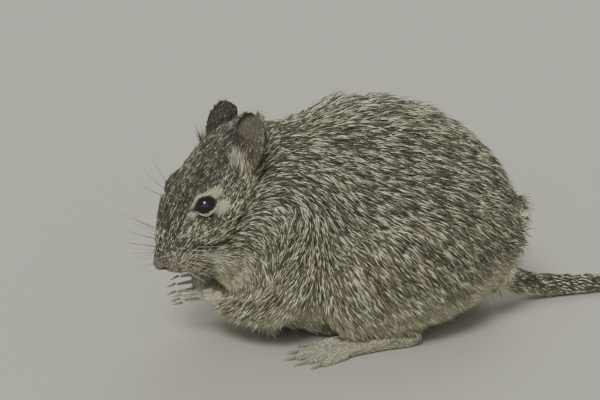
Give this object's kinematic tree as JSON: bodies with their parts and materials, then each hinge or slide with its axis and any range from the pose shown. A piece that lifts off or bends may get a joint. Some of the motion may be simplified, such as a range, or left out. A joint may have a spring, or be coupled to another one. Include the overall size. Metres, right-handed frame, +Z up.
{
  "type": "degu",
  "caption": "Life-size crouching degu with both forepaws raised to its mouth, rounded ears, agouti coat and a tufted tail lying behind.",
  "frame": {"origin": "on the floor, at the centre of the bounding box seen from above", "axes": "+Z up, the animal faces -Y, its left side is +X"},
  "size_m": [0.0718, 0.237, 0.0857],
  "materials": {
    "coat_back": "agouti fur, grey-brown hairs with buff bands and dark tips",
    "coat_pale": "cream fur of the underside, chin and eye ring",
    "coat_dark": "black brush of the tail",
    "ear_skin": "thin grey-brown skin with short down",
    "paw_skin": "grey-pink skin with sparse pale hair",
    "nose_skin": "pinkish grey, slightly moist",
    "eye": "wet dark brown, glossy",
    "claw": "brown horn, satin"
  },
  "bodies": {
    "root": {"head": "coat_back", "neck": "coat_back", "trunk": "coat_back", "lower_jaw": "coat_pale", "nose": "nose_skin", "eye_left": "eye", "ear_left": "ear_skin", "foreleg_left": "coat_back", "forepaw_left": "paw_skin", "hind_leg_left": "coat_back", "hind_foot_left": "paw_skin", "claw_forepaw_left_1": "claw", "claw_forepaw_left_2": "claw", "claw_forepaw_left_3": "claw", "claw_forepaw_left_4": "claw", "claw_hind_foot_left_1": "claw", "claw_hind_foot_left_2": "claw", "claw_hind_foot_left_3": "claw", "claw_hind_foot_left_4": "claw", "claw_hind_foot_left_5": "claw", "eye_right": "eye", "ear_right": "ear_skin", "foreleg_right": "coat_back", "forepaw_right": "paw_skin", "hind_leg_right": "coat_back", "hind_foot_right": "paw_skin", "claw_forepaw_right_1": "claw", "claw_forepaw_right_2": "claw", "claw_forepaw_right_3": "claw", "claw_forepaw_right_4": "claw", "claw_hind_foot_right_1": "claw", "claw_hind_foot_right_2": "claw", "claw_hind_foot_right_3": "claw", "claw_hind_foot_right_4": "claw", "claw_hind_foot_right_5": "claw", "tail_base": "coat_back", "tail_middle": "coat_back", "tail_brush": "coat_dark"}
  },
  "joints": []
}
